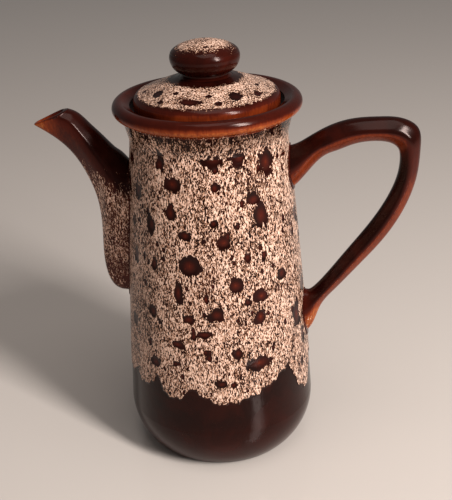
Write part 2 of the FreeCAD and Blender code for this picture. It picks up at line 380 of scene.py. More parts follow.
class Graph:
    """Short calls for adding nodes to a shader tree and joining them."""

    def __init__(self, tree: Tree) -> None:
        """Starts on a node tree."""
        self.tree = tree

    def feed(self, socket: Socket, value: object) -> None:
        """Links a socket to another, or sets its value.

        Args:
            socket: The socket to feed.
            value: The other socket, or a plain value.
        """
        if isinstance(value, Socket):
            self.tree.links.new(value, socket)
        else:
            socket.default_value = value

    def fill(self, node: Node, values: dict[str, object]) -> None:
        """Feeds a node's inputs by name."""
        for name, value in values.items():
            self.feed(node.inputs[name], value)

    def node(self, kind: str, inputs: dict[str, object] | None = None,
             **settings: object) -> Node:
        """Adds a node.

        Args:
            kind: The node's type.
            inputs: Values or sockets for its inputs, by name.
            settings: Its own settings.

        Returns:
            The new node.
        """
        made = self.tree.nodes.new(kind)
        for name, value in settings.items():
            setattr(made, name, value)
        self.fill(made, inputs or {})
        return made

    def math(self, operation: str, *values: object) -> Socket:
        """Adds a math node on up to three values.

        Args:
            operation: The node's operation.
            values: Its inputs in order.

        Returns:
            The result.
        """
        made = self.node("ShaderNodeMath", operation=operation)
        for socket, value in zip(made.inputs, values):
            self.feed(socket, value)
        return made.outputs[0]

    def span(self, value: Socket, low: float, high: float) -> Socket:
        """Maps a value smoothly to 0 at low, which may be the larger, and 1 at high."""
        made = self.node("ShaderNodeMapRange", {"Value": value, "From Min": low, "From Max": high},
                         interpolation_type="SMOOTHSTEP")
        return made.outputs["Result"]

    def fade(self, value: Socket, fade: Fade) -> Socket:
        """The amount that a fade gives at a value."""
        return self.math("MULTIPLY", self.span(value, fade.start, fade.end), fade.amount)

    def sway(self, base: object, noise: Socket, depth: float) -> Socket:
        """A value moved up and down by a noise, as far as depth says."""
        return self.math("MULTIPLY_ADD", self.math("SUBTRACT", noise, 0.5), depth, base)

    def blend(self, share: object, first: object, second: object) -> Socket:
        """Mixes two colours.

        Args:
            share: How much of the second colour.
            first: The first colour.
            second: The second colour.

        Returns:
            The mixed colour.
        """
        made = self.node("ShaderNodeMix", data_type="RGBA")
        for name, value in (("Factor_Float", share), ("A_Color", first), ("B_Color", second)):
            self.feed(next(s for s in made.inputs if s.identifier == name), value)
        return next(s for s in made.outputs if s.identifier == "Result_Color")

    def ramp(self, value: Socket, stops: Sequence[tuple[float, Colour]]) -> Socket:
        """Colours a value by stops.

        Args:
            value: The value, from 0 to 1.
            stops: Places and colours in rising order.

        Returns:
            The colour.
        """
        made = self.node("ShaderNodeValToRGB", {"Fac": value})
        elements = made.color_ramp.elements
        while len(elements) < len(stops):
            elements.new(0.5)
        for element, (place, colour) in zip(elements, stops):
            element.position = place
            element.color = colour
        return made.outputs["Color"]

    def place(self, stretch: Triple) -> Socket:
        """The place on the piece, scaled along x, y and z."""
        where = self.node("ShaderNodeTexCoord").outputs["Object"]
        return self.node("ShaderNodeMapping", {"Vector": where, "Scale": stretch}).outputs["Vector"]

    def grain(self, noise: Noise) -> Socket:
        """Noise over the piece, about 0 to 1."""
        made = self.node("ShaderNodeTexNoise", {
            "Vector": self.place((1.0, 1.0, noise.tall)), "Scale": noise.scale,
            "Detail": noise.detail, "Distortion": noise.twist})
        return made.outputs["Fac"]

    def stored(self, name: str) -> Socket:
        """The number stored on the piece under an attribute's name."""
        return self.node("ShaderNodeAttribute", attribute_name=name).outputs["Fac"]

    def axes(self) -> tuple[Socket, Socket]:
        """The distance from the barrel's axis and the height, in millimetres.

        Returns:
            The radius and the height.
        """
        where = self.place((1 / MM, 1 / MM, 1 / MM))
        parts = self.node("ShaderNodeSeparateXYZ", {"Vector": where}).outputs
        square = self.math("ADD", self.math("MULTIPLY", parts["X"], parts["X"]),
                           self.math("MULTIPLY", parts["Y"], parts["Y"]))
        return self.math("SQRT", square), parts["Z"]


def stored_thin_and_light(graph: Graph) -> Socket:
    """How thin the brown glaze runs, with painted light as lighter amber on downward-facing facets, as
    stored on the piece.
    """
    return graph.stored("thin")


def new_group(name: str, inputs: Sequence[str], outputs: Sequence[str]) -> tuple[
        Graph, Node, Node]:
    """Starts a shader node group.

    Args:
        name: The group's name.
        inputs: Names of its number inputs.
        outputs: Names of its outputs, where Color is a colour and the others are numbers.

    Returns:
        The group's graph, its input node and its output node.
    """
    tree = bpy.data.node_groups.new(name, "ShaderNodeTree")
    for label in inputs:
        tree.interface.new_socket(label, in_out="INPUT", socket_type="NodeSocketFloat")
    for label in outputs:
        kind = "NodeSocketColor" if label == "Color" else "NodeSocketFloat"
        tree.interface.new_socket(label, in_out="OUTPUT", socket_type=kind)
    graph = Graph(tree)
    return graph, graph.node("NodeGroupInput"), graph.node("NodeGroupOutput")


@dataclass(frozen=True)
class BrownGlaze:
    """The first glaze: near black where it is thick, red and then amber where it runs thin."""

    thick: Colour = (0.008, 0.0015, 0.001, 1)
    middle: Colour = (0.055, 0.006, 0.0025, 1)
    thin: Colour = (0.22, 0.033, 0.006, 1)
    thinnest: Colour = (0.42, 0.11, 0.022, 1)
    stops: tuple[float, ...] = (0.0, 0.35, 0.75, 1.0)
    streak: Noise = Noise(900.0, 3.0, 0.4, 0.22)
    streak_depth: float = 0.9
    cloud: Noise = Noise(70.0, 3.0, 0.6)
    cloud_edge: Pair = (0.35, 0.75)
    orange_peel: Noise = Noise(260.0)
    roughness: float = 0.13
    rough_drift: float = 0.1

    def group(self) -> Tree:
        """The group that gives the glaze's colour, roughness and relief from how thin it runs.

        Returns:
            The node group.
        """
        graph, given, result = new_group(
            "brown_glaze", ("Thin", "Cloud"), ("Color", "Roughness", "Height"))
        cloud = graph.grain(self.cloud)
        streaked = graph.sway(1.0, graph.grain(self.streak), self.streak_depth)
        thin = graph.math("MULTIPLY", given.outputs["Thin"], streaked)
        clouded = graph.math("MULTIPLY", graph.span(cloud, *self.cloud_edge), given.outputs["Cloud"])
        colours = (self.thick, self.middle, self.thin, self.thinnest)
        colour = graph.ramp(graph.math("ADD", thin, clouded), tuple(zip(self.stops, colours)))
        rough = graph.math("MULTIPLY_ADD", cloud, self.rough_drift, self.roughness)
        peel = graph.grain(self.orange_peel)
        graph.fill(result, {"Color": colour, "Roughness": rough, "Height": peel})
        return graph.tree


@dataclass(frozen=True)
class HoneycombGlaze:
    """The second glaze: short pale strokes over the brown, thinning out at its edges."""

    cream: Colour = (0.86, 0.595, 0.47, 1)
    tan: Colour = (0.47, 0.22, 0.12, 1)
    rust: Colour = (0.12, 0.03, 0.013, 1)
    stops: tuple[float, ...] = (0.47, 0.52, 0.595)
    stroke: Noise = Noise(1450.0, 2.0, 1.1, 0.4)
    strand: Noise = Noise(420.0, 2.0, 0.5, 0.3)
    patch: Noise = Noise(120.0, 3.0, 0.4, 0.6)
    patch_depth: float = 0.22
    blot: Noise = Noise(190.0, 1.0, 0.3, 0.8)
    blot_depth: float = 0.8
    edge_fray: float = 0.7
    spot_fray: float = 0.6
    cover_edge: Pair = (0.2, 0.85)
    spot_edge: Pair = (0.42, 0.58)
    mask_edge: Pair = (0.47, 0.53)
    thinning: float = 0.4

    def group(self) -> Tree:
        """The group that gives the speckle's colour and its cover over the brown glaze.

        Cover is 1 where the coat is full, 0.5 at its edge and 0 past it. Spot is 1 in a bare spot.
        Sparse thins the strokes out everywhere.

        Returns:
            The node group.
        """
        graph, given, result = new_group(
            "honeycomb_glaze", ("Cover", "Spot", "Sparse"), ("Color", "Mask"))
        strand = graph.grain(self.strand)
        ragged = graph.sway(given.outputs["Cover"], strand, self.edge_fray)
        cover = graph.span(ragged, *self.cover_edge)
        uneven = graph.sway(given.outputs["Spot"], graph.grain(self.blot), self.blot_depth)
        bare = graph.span(graph.sway(uneven, strand, self.spot_fray), *self.spot_edge)
        ground = graph.math("MULTIPLY", cover, graph.math("SUBTRACT", 1.0, bare))
        lift = graph.sway(graph.grain(self.stroke), graph.grain(self.patch), self.patch_depth)
        dense = graph.math("SUBTRACT", lift, given.outputs["Sparse"])
        gone = graph.math("SUBTRACT", ground, 1.0)
        thinned = graph.math("MULTIPLY_ADD", gone, self.thinning, dense)
        mask = graph.span(thinned, *self.mask_edge)
        colour = graph.ramp(thinned, tuple(zip(self.stops, (self.rust, self.tan, self.cream))))
        graph.fill(result, {"Color": colour, "Mask": mask})
        return graph.tree


@dataclass
class Finishes:
    """Makes the pot's materials from the two glazes."""

    brown: BrownGlaze = field(default_factory=BrownGlaze)
    honeycomb: HoneycombGlaze = field(default_factory=HoneycombGlaze)
    ior: float = 1.46
    specular: float = 0.2
    specular_tint: Colour = (1.0, 0.8, 0.76, 1)
    brown_relief: Pair = (0.12, 0.0004)
    honeycomb_relief: Pair = (0.25, 0.00025)
    speckle_rough: float = 0.16
    speckle_cloud: float = 0.1
    spot_heart: Pair = (0.55, 1.1)

    def __post_init__(self) -> None:
        """Builds each glaze's group once."""
        self.brown_group = self.brown.group()
        self.honeycomb_group = self.honeycomb.group()

    def start(self, name: str) -> tuple[Material, Graph, Node]:
        """Starts a material with one glossy shader.

        Args:
            name: The material's name.

        Returns:
            The material, its graph and its shader node.
        """
        material = bpy.data.materials.new(name)
        material.use_nodes = True
        graph = Graph(material.node_tree)
        shader = next(n for n in graph.tree.nodes if n.type == "BSDF_PRINCIPLED")
        graph.fill(shader, {"IOR": self.ior, "Specular IOR Level": self.specular,
                            "Specular Tint": self.specular_tint})
        return material, graph, shader

    def brown_under(self, graph: Graph, thin: object, cloud: float) -> Node:
        """Adds the brown glaze's group, with how thin it runs and how much its colour drifts."""
        return graph.node("ShaderNodeGroup", {"Thin": thin, "Cloud": cloud}, node_tree=self.brown_group)

    def join(self, graph: Graph, shader: Node, colour: Socket, rough: Socket, height: Socket,
             relief: Pair) -> None:
        """Joins a glaze to the shader.

        Args:
            graph: The material's graph.
            shader: Its shader node.
            colour: The glaze's colour.
            rough: Its roughness.
            height: Its relief's height.
            relief: The relief's strength and its depth in metres.
        """
        strength, depth = relief
        bump = graph.node("ShaderNodeBump", {"Height": height, "Strength": strength, "Distance": depth})
        graph.fill(shader, {"Base Color": colour, "Roughness": rough, "Normal": bump.outputs["Normal"]})

    def brown_on(self, name: str, thin: Callable[[Graph], object], cloud: float) -> Material:
        """A piece in brown glaze alone.

        Args:
            name: The material's name.
            thin: Gives the socket or number that says how thin the glaze runs, with any painted light on
                the piece folded in.
            cloud: How much the colour drifts by itself.

        Returns:
            The material.
        """
        material, graph, shader = self.start(name)
        glaze = self.brown_under(graph, thin(graph), cloud).outputs
        self.join(graph, shader, glaze["Color"], glaze["Roughness"], glaze["Height"], self.brown_relief)
        return material

    def both_on(self, name: str, thin: Callable[[Graph], object], spot_thin: float = 0.0,
                sparse: float = 0.0) -> Material:
        """A piece in brown glaze with the honeycomb glaze over it, by its cover and spot attributes.

        Args:
            name: The material's name.
            thin: Gives how thin the brown glaze runs outside the spots, with any painted light on the
                piece folded in.
            spot_thin: How thin it runs in the middle of a bare spot.
            sparse: How much the pale strokes thin out.

        Returns:
            The material.
        """
        material, graph, shader = self.start(name)
        spot = graph.stored("spot")
        in_spot = graph.fade(spot, Fade(*self.spot_heart, spot_thin))
        thinness = graph.math("ADD", thin(graph), in_spot)
        glaze = self.brown_under(graph, thinness, self.speckle_cloud).outputs
        given = {"Cover": graph.stored("cover"), "Spot": spot, "Sparse": sparse}
        speckle = graph.node("ShaderNodeGroup", given, node_tree=self.honeycomb_group).outputs
        mask = speckle["Mask"]
        colour = graph.blend(mask, glaze["Color"], speckle["Color"])
        rough = graph.math("MULTIPLY_ADD", mask, self.speckle_rough, glaze["Roughness"])
        self.join(graph, shader, colour, rough, mask, self.honeycomb_relief)
        return material


@dataclass
class Barrel:
    """The turned barrel's outside, which the spout, handle and coat take their places from."""

    rim_height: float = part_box("pot_body")[1].z / MM
    belly_radius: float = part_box("pot_body")[1].x / MM
    flare_height: float = 16.8
    neck_radius: float = 42.6
    belly_height: float = 27.0
    side_bulge: float = 0.75
    foot_inset: float = 11.6
    flare_round: float = 9.6
    # Painted light: the lip's lower half is made lighter amber, as if lit, over its thin glaze.
    lit_lip_top: Fade = Fade(207.6, 204.2)
    lit_lip_bottom: Fade = Fade(198.6, 202.4)
    lit_lip_side: Fade = Fade(44.5, 46.5, 0.8)
    rim_trace: Fade = Fade(205.0, 207.0, 0.16)
    foot_trace: Fade = Fade(40.0, 4.0, 0.12)
    cloud: float = 0.07

    @property
    def neck_height(self) -> float:
        """Height of the narrowest part, in millimetres."""
        return self.rim_height - self.flare_height

    def side_radius(self, height: Array) -> Array:
        """Radius of the bowed side by height, carried on past belly and neck, in millimetres."""
        share = (height - self.belly_height) / (self.neck_height - self.belly_height)
        return (self.belly_radius + (self.neck_radius - self.belly_radius) * share
                + 4 * self.side_bulge * share * (1 - share))

    def radius(self, height: Array) -> Array:
        """Outer radius by height.

        Args:
            height: Heights in millimetres.

        Returns:
            Radii in millimetres.
        """
        base_round = (self.foot_inset ** 2 + self.belly_height ** 2) / (2 * self.foot_inset)
        below = np.clip(self.belly_height - height, 0, base_round)
        base = self.belly_radius - base_round + np.sqrt(base_round ** 2 - below ** 2)
        above = np.clip(height - self.neck_height, 0, self.flare_round)
        flare = self.neck_radius + self.flare_round - np.sqrt(self.flare_round ** 2 - above ** 2)
        upper = np.where(height > self.neck_height, flare, self.side_radius(height))
        return np.where(height < self.belly_height, base, upper)

    def point(self, stand_off: float, drop: float, side: int) -> Vector:
        """A point beside the barrel in the plane of spout and handle.

        Args:
            stand_off: Distance out from the barrel's side, in millimetres.
            drop: Distance below the neck, in millimetres.
            side: 1 towards the handle, -1 towards the spout.

        Returns:
            The point in metres.
        """
        height = self.neck_height - drop
        return Vector((side * (self.side_radius(height) + stand_off) * MM, 0, height * MM))

    def thin(self, graph: Graph) -> Socket:
        """Amber on the lower half of the lip, partly the glaze running thin and partly painted light on
        its lower side, with a trace on the dished rim and at the foot.

        Args:
            graph: The graph to add to.

        Returns:
            How thin the glaze runs.
        """
        radius, height = graph.axes()
        # Painted light: lighter amber on the lip's lower half, as if lit, together with the glaze's thin
        # run.
        below, above = graph.fade(height, self.lit_lip_top), graph.fade(height, self.lit_lip_bottom)
        lip = graph.math("MULTIPLY", below, above)
        amber = graph.math("MULTIPLY", lip, graph.fade(radius, self.lit_lip_side))
        trace = graph.math("ADD", amber, graph.fade(height, self.rim_trace))
        return graph.math("ADD", trace, graph.fade(height, self.foot_trace))

    def dress(self, finishes: Finishes) -> None:
        """Gives the turned barrel its brown glaze."""
        dress_node("pot_body", finishes.brown_on("barrel_brown", self.thin, self.cloud))


LOBES = tuple(starmap(Lobe, (
    (-172, 57, -158, 51), (-146, 56, -137, 50), (-124, 59.6, -113, 48), (-99, 56.7, -80, 47),
    (-35, 61.8, -16, 37.5), (-2, 56, 10, 49), (25, 60, 42, 47), (57, 57, 73, 50),
    (90, 61, 107, 46), (124, 56, 140, 49), (157, 60, 172, 47),
)))
FRONT_SPOTS = tuple(starmap(Spot, (
    (-79, 189, 11.5, 10), (-61, 188, 7.5, 8), (-40, 182, 9, 13), (-45, 194, 8, 5.5),
    (-121, 192, 7, 6), (-108, 174.5, 8.5, 8), (-79, 173, 4.5, 5), (-53, 164, 8.5, 6.5),
    (-48, 154, 8.5, 13), (-110, 158.5, 5.5, 9), (-100, 147, 6, 5.5), (-75, 143, 8, 6.5),
    (-98, 130, 10.5, 10.5), (-81, 154, 4, 4.5), (-34, 117, 6, 6.5), (-118, 184, 5, 8),
    (-106, 114, 4.5, 12), (-69, 118, 8, 8), (-52, 109, 9, 7), (-82, 102, 8, 7),
    (-54, 97, 6.5, 9), (-100, 99, 7.5, 5), (-126, 99, 6, 7), (-90, 90.5, 10, 4),
    (-108, 83, 9, 4), (-125, 68, 7, 6), (-57, 69.5, 15, 7), (-81, 60, 6, 4),
    (-74, 59, 4, 4), (-70, 78, 5, 6), (-21, 87, 8.5, 16), (-14, 72, 5, 10),
    (-48, 132, 3.5, 6), (-60, 133, 3.5, 5), (-126, 150, 5, 9), (-124, 128, 4.5, 7),
)))
SCATTERS = (
    Scatter(62, (-10, 230), (58, 136), (3.5, 6), (0.8, 0.8), 2),
    Scatter(210, (0, 360), (52, 146), (1.4, 1.4), (1.0, 1.2), 1),
)


@dataclass
class BodyCoat:
    """The honeycomb glaze on the barrel: a thin raised skin with hanging lobes and bare spots."""

    barrel: Barrel
    finishes: Finishes
    thickness: float = 0.5
    low: float = 29.0
    high: float = 201.2
    row: float = 0.85
    around: int = 400
    backing: float = 0.6
    sunk: float = 0.1
    lobe_power: float = 1.7
    fringe: tuple[tuple[int, float], ...] = ((31, 0.7), (53, 0.6), (88, 0.5))
    top_edge: float = 202.5
    edge_width: float = 2.6
    top_fade: float = 13.0
    rise: Pair = (0.05, 0.65)
    back_rows: int = 12
    spot_thin: float = 0.44
    seed: int = 7

    def drip_height(self, degrees: Array) -> Array:
        """Height of the coat's lower edge by angle.

        Args:
            degrees: Angles round from the handle.

        Returns:
            Heights in millimetres.
        """
        heights = np.zeros_like(degrees)
        turned = np.where(degrees < LOBES[0].peak_degrees, degrees + 360, degrees)
        for i, lobe in enumerate(LOBES):
            following = LOBES[(i + 1) % len(LOBES)]
            end = following.peak_degrees + (360 if i == len(LOBES) - 1 else 0)
            left = np.clip((lobe.low_degrees - turned) / (lobe.low_degrees - lobe.peak_degrees), 0, 1)
            right = np.clip((turned - lobe.low_degrees) / (end - lobe.low_degrees), 0, 1)
            rise = (lobe.peak_height - lobe.low_height) * left ** self.lobe_power
            rise += (following.peak_height - lobe.low_height) * right ** self.lobe_power
            inside = (turned >= lobe.peak_degrees) & (turned < end)
            heights = np.where(inside, lobe.low_height + rise, heights)
        turn = np.radians(degrees)
        return heights + sum(deep * np.sin(count * turn + count) for count, deep in self.fringe)

    def spots(self) -> list[Spot]:
        """The bare spots: the listed ones in front, seeded ones over the rest and specks all round.

        Returns:
            The spots.
        """
        random = np.random.default_rng(self.seed)
        spots = list(FRONT_SPOTS)
        for strew in SCATTERS:
            for _ in range(strew.count):
                degrees = strew.degrees[0] + strew.degrees[1] * random.random()
                height = strew.height[0] + strew.height[1] * random.random()
                width = strew.width[0] + strew.width[1] * random.random() ** strew.power
                tallness = strew.tallness[0] + strew.tallness[1] * random.random()
                spots.append(Spot(degrees, height, width, width * tallness))
        return spots

    def outline(self) -> list[Vector]:
        """The skin's closed outline: up the outside in fine rows, then down behind it.

        Returns:
            The outline's points in metres.
        """
        outside = np.arange(self.low, self.high, self.row)
        behind = np.linspace(self.high, self.low, self.back_rows)
        heights = np.concatenate([outside, behind])
        radii = self.barrel.radius(heights)
        radii[len(outside):] -= self.backing
        return [Vector((r * MM, 0, z * MM)) for r, z in zip(radii, heights)]

    def build(self) -> None:
        """Makes the coat and gives it its finish."""
        piece = turned_skin("barrel_honeycomb", self.outline(), True, self.around)
        places = corners_of(piece) / MM
        degrees, radii = polar(places)
        heights = places[:, 2]
        bare = self.barrel.radius(heights)
        lower = (heights - self.drip_height(degrees)) / self.edge_width
        upper = (self.top_edge - heights) / self.top_fade
        cover = np.clip(EDGE_COVER + np.minimum(lower, upper), 0, 1)
        spot = spot_depth(self.spots(), degrees, heights, bare)
        raised = (self.thickness + self.sunk) * coat_share(cover, spot, self.rise) - self.sunk
        grown = np.where(radii > bare - self.backing / 2, raised, 0)
        places[:, :2] *= ((radii + grown) / radii)[:, None]
        move_corners(piece, places * MM)
        paint(piece, cover=cover, spot=spot)
        material = self.finishes.both_on("barrel_honeycomb", self.barrel.thin, self.spot_thin)
        settle(piece, Body.POT, Slot.HONEYCOMB, material, "glaze_coat_body")


@dataclass
class Loft:
    """A smooth run of sections beside the barrel, each an oval with flats and rounded ridges."""

    barrel: Barrel
    side: int
    stations: Sequence[Station]
    fullness: float = 0.36
    between: int = 8
    corner_steps: int = 6

    def rows(self) -> Array:
        """The stations drawn out into a smooth, fine run.

        Returns:
            Rows of near x and z, far x and z, width and wall, in metres, then shoulder and ridge.
        """
        rows = []
        for near, far, width, wall, shoulder, ridge in self.stations:
            first = self.barrel.point(*near, self.side)
            last = self.barrel.point(*far, self.side)
            rows.append((first.x, first.z, last.x, last.z, width * MM, wall * MM, shoulder, ridge))
        rows = np.array(rows)
        middles = (rows[:, 0:2] + rows[:, 2:4]) / 2
        steps = np.hypot(*np.diff(middles, axis=0).T)
        ends = np.hypot(*np.diff(rows[:, 2:4], axis=0).T)
        knots = np.concatenate([[0], np.cumsum((steps + ends) / 2)])
        places = np.concatenate([np.linspace(knots[i], knots[i + 1], self.between, endpoint=False)
                                 for i in range(len(knots) - 1)] + [knots[-1:]])
        return natural_spline(knots, rows, places)

    def ring(self, row: Array, shrink: bool = False) -> list[Vector]:
        """The points round one section.

        Args:
            row: A row as rows gives it.
            shrink: Whether to draw the section in by its wall.

        Returns:
            The points in order.
        """
        near_x, near_z, far_x, far_z, width, wall, shoulder, ridge = row
        near, far = Vector((near_x, 0, near_z)), Vector((far_x, 0, far_z))
        inset = wall if shrink else 0.0
        along = (near - far).normalized()
        widest = far + (near - far) * shoulder
        across = Vector((0, width / 2 - inset, 0))
        low, high = far + along * inset, near - along * inset
        ends = (low, widest + across, high, widest - across)
        corners = (low + across, high + across, high - across, low - across)
        points = []
        for i, corner in enumerate(corners):
            bends = (ridge, self.fullness) if i % 2 else (self.fullness, ridge)
            points += quarter(ends[i], corner, ends[(i + 1) % 4], bends, self.corner_steps)
        return points

    def skin(self, bm: bmesh.types.BMesh, rings: Sequence[Points]) -> tuple[list, list]:
        """Extrudes one ring of edges through all the rings.

        Args:
            bm: The bmesh to add to.
            rings: The rings' points, all of one count.

        Returns:
            The first and the last ring's edges.
        """
        verts = bmesh.ops.create_circle(bm, segments=len(rings[0]), radius=MM)["verts"]
        first = edges = list(dict.fromkeys(e for v in verts for e in v.link_edges))
        for vert, point in zip(verts, rings[0]):
            vert.co = point
        for points in rings[1:]:
            order = {v: i for i, v in enumerate(verts)}
            made = bmesh.ops.extrude_edge_only(bm, edges=edges)["geom"]
            edges = [g for g in made if isinstance(g, bmesh.types.BMEdge)
                     and not any(v in order for v in g.verts)]
            verts = [None] * len(order)
            for vert in (g for g in made if isinstance(g, bmesh.types.BMVert)):
                joined = (e.other_vert(vert) for e in vert.link_edges)
                verts[next(order[other] for other in joined if other in order)] = vert
            for vert, point in zip(verts, points):
                vert.co = point
        return first, edges


SPOUT_STATIONS = tuple(starmap(Station, (
    ((-3.0, 23.8), (-3.0, 100.6), 30.5, 4.5, 0.8, 0.36),
    ((0.3, 21.8), (7.9, 99.2), 30.0, 4.5, 0.8, 0.3),
    ((5.1, 16.8), (14.6, 87.5), 28.0, 4.4, 0.8), ((9.5, 13.4), (16.4, 66.0), 25.5, 4.2, 0.77),
    ((13.8, 9.3), (18.9, 44.5), 22.5, 4.0, 0.71), ((18.7, 4.3), (24.4, 30.0), 20.0, 3.7, 0.67),
    ((24.6, -1.4), (33.1, 16.2), 17.5, 3.4, 0.69), ((30.7, -7.0), (43.0, 7.0), 15.5, 3.0, 0.74),
    ((37.2, -9.6), (56.3, -1.2), 13.5, 2.6, 0.74),
)))
HANDLE_STATIONS = tuple(starmap(Station, (
    ((-3.0, 36.8), (-3.0, 12.7), 18.0, 0.0, 0.5, 0.36),
    ((1.3, 34.5), (1.3, 11.7), 17.5, 0.0, 0.5, 0.34),
    ((14.2, 21.2), (8.5, 8.6), 16.0), ((25.7, 14.4), (20.6, 1.8), 16.0),
    ((36.5, 10.4), (34.9, -3.0), 16.0), ((49.2, 9.0), (50.5, -4.2), 15.8),
    ((55.7, 10.4), (63.1, -3.0), 15.5), ((58.2, 12.4), (70.3, 2.1), 15.2),
    ((59.4, 15.6), (70.9, 12.5), 14.8), ((58.1, 26.2), (68.3, 28.0), 14.4),
    ((51.2, 41.8), (60.9, 46.7), 14.0), ((40.0, 58.1), (48.9, 65.1), 13.6),
    ((24.7, 76.6), (32.9, 83.1), 13.2), ((10.8, 93.1), (17.9, 99.1), 13.2),
    ((3.7, 99.6), (9.1, 110.2), 14.5), ((-0.1, 99.4), (2.1, 124.0), 16.5, 0.0, 0.5, 0.34),
    ((-3.0, 100.1), (-3.0, 128.1), 17.2, 0.0, 0.5, 0.36),
)))


@dataclass
class Spout:
    """The hollow spout with its ridges, open mouth and speckled foot."""

    barrel: Barrel
    finishes: Finishes
    lip_steps: int = 4
    speckle_top: float = 168.0
    speckle_creep: Fade = Fade(0.3, 0.9, 22.0)
    speckle_fade: float = 44.0
    foot_cover: float = 0.58
    foot_height: float = 92.0
    foot_fade: float = 120.0
    sparse: float = 0.02
    tip_thin: Fade = Fade(-78.0, -97.0, 0.6)
    # Painted light: downward-facing facets get lighter amber, as if lit.
    painted_light_under: Fade = Fade(0.25, -0.2, 0.28)
    least_thin: float = 0.04
    seam_facing: float = 0.6
    seam_width: Fade = Fade(0.2, 0.8)

    def build(self) -> None:
        """Makes the spout and gives it its finish."""
        loft = Loft(self.barrel, -1, SPOUT_STATIONS)
        rows = loft.rows()
        outside = [loft.ring(row) for row in rows]
        inside = [loft.ring(row, shrink=True) for row in rows[::-1]]
        lip = self.rounded_lip(outside[-1], inside[0], outside[-2])
        bm = bmesh.new()
        first, last = loft.skin(bm, outside[:-1] + lip + inside[1:])
        bmesh.ops.bridge_loops(bm, edges=first + last)
        piece = piece_from("spout_shell", bm)
        self.colour(piece)
        material = self.finishes.both_on("spout_glaze", stored_thin_and_light, sparse=self.sparse)
        settle(piece, Body.POT, Slot.BROWN, material, "spout", "glaze_coat_spout")

    def rounded_lip(self, outer: Points, inner: Points, before: Points) -> list[list[Vector]]:
        """Rings that round the mouth over from outside to inside.

        Args:
            outer: The mouth's outer ring.
            inner: The mouth's inner ring.
            before: The outer ring just before the mouth.

        Returns:
            The rings in order.
        """
        rings = []
        for i in range(self.lip_steps + 1):
            angle = math.pi * i / self.lip_steps
            share = (1 - math.cos(angle)) / 2
            ring = []
            for out, into, back in zip(outer, inner, before):
                inward = (back - out).normalized() * (out - into).length / 2
                ring.append(out.lerp(into, share) + inward * (1 - math.sin(angle)))
            rings.append(ring)
        return rings

    def colour(self, piece: Piece) -> None:
        """Paints where the brown runs thin, lighter amber on the downward-facing facets as painted
        light, and where the speckle lies.

        Args:
            piece: The spout's shell.
        """
        places = corners_of(piece) / MM
        facing = normals_of(piece)
        heights = places[:, 2]
        # Painted light: the downward-facing facets turn lighter amber, as if lit; the tip's amber is the
        # glaze running thin.
        thin = self.tip_thin.of(places[:, 0]) + self.painted_light_under.of(facing[:, 2]) + self.least_thin
        top = self.speckle_top + self.speckle_creep.of(-facing[:, 0])
        upper = EDGE_COVER + (top - heights) / self.speckle_fade
        cover = np.minimum(upper, self.foot_cover + (heights - self.foot_height) / self.foot_fade)
        off_seam = np.abs(places[:, 1]) + (facing[:, 0] < self.seam_facing)
        cover = np.clip(cover, 0, 1) * self.seam_width.of(off_seam)
        paint(piece, thin=np.clip(thin, 0, 1), cover=cover, spot=np.zeros(len(places)))


@dataclass
class Handle:
    """The solid loop handle, amber at its roots where the glaze runs thin, with painted light as lighter
    amber on its downward-facing facets, and a trace of speckle at the roots.
    """

    barrel: Barrel
    finishes: Finishes
    # Painted light: downward-facing facets get lighter amber, as if lit.
    painted_light_under: Fade = Fade(0.12, -0.3, 0.5)
    least_thin: float = 0.02
    root_thin: float = 0.35
    root_reach: Fade = Fade(60.0, 46.0)
    upper_root: Fade = Fade(168.0, 156.0)
    upper_cover: float = 0.3
    lower_root: Fade = Fade(92.0, 78.0)
    lower_cover: float = 0.5

    def build(self) -> None:
        """Makes the handle and gives it its finish."""
        loft = Loft(self.barrel, 1, HANDLE_STATIONS)
        bm = bmesh.new()
        first, last = loft.skin(bm, [loft.ring(row) for row in loft.rows()])
        for edges in (first, last):
            bmesh.ops.holes_fill(bm, edges=edges, sides=0)
        piece = piece_from("handle_loop", bm)
        places = corners_of(piece) / MM
        # Painted light: downward-facing facets turn lighter amber, as if lit, while the upper facets
        # stay near black.
        under = self.painted_light_under.of(normals_of(piece)[:, 2])
        upper = self.root_reach.of(places[:, 0]) * self.upper_root.of(places[:, 2])
        lower = self.lower_root.of(places[:, 2])
        thin = self.least_thin + under + self.root_thin * np.maximum(upper, lower)
        cover = self.lower_cover * lower + self.upper_cover * upper
        paint(piece, thin=np.clip(thin, 0, 1), cover=cover, spot=np.zeros(len(places)))
        material = self.finishes.both_on("handle_glaze", stored_thin_and_light)
        settle(piece, Body.POT, Slot.BROWN, material, "handle")


@dataclass
class Joints:
    """The collars of slip under spout, handle and knob, where the brown runs a little thin."""

    finishes: Finishes
    thinness: float = 0.16
    cloud: float = 0.25
    knob_thinness: float = 0.05
    knob_cloud: float = 0.1

    def dress(self) -> None:
        """Gives the collars their glaze."""
        material = self.finishes.brown_on("joint_glaze", lambda graph: self.thinness, self.cloud)
        for node in ("spout_luting", "handle_upper_luting", "handle_lower_luting"):
            dress_node(node, material)
        dress_node("knob_luting", self.finishes.brown_on(
            "knob_joint_glaze", lambda graph: self.knob_thinness, self.knob_cloud))


LID_SPOTS = tuple(starmap(Spot, (
    (-141, 29.5, 6, 5), (-99, 31.5, 12, 4), (-51, 30, 8, 6.5), (48, 31, 9, 5),
    (86, 28, 6, 6), (118, 31, 10, 4.5), (152, 27, 6, 5), (-126, 34, 3, 2.6),
    (-119, 26, 2.8, 2.4), (-79, 27, 3.2, 2.4), (-72, 33, 3.4, 2.4), (-27, 32.5, 4.5, 3.2),
    (-166, 33, 3.5, 3), (-8, 28, 3, 2.5),
)))
KNOB_SPOTS = (Spot(-78, 10.5, 3, 2), Spot(100, 5, 2.5, 3))


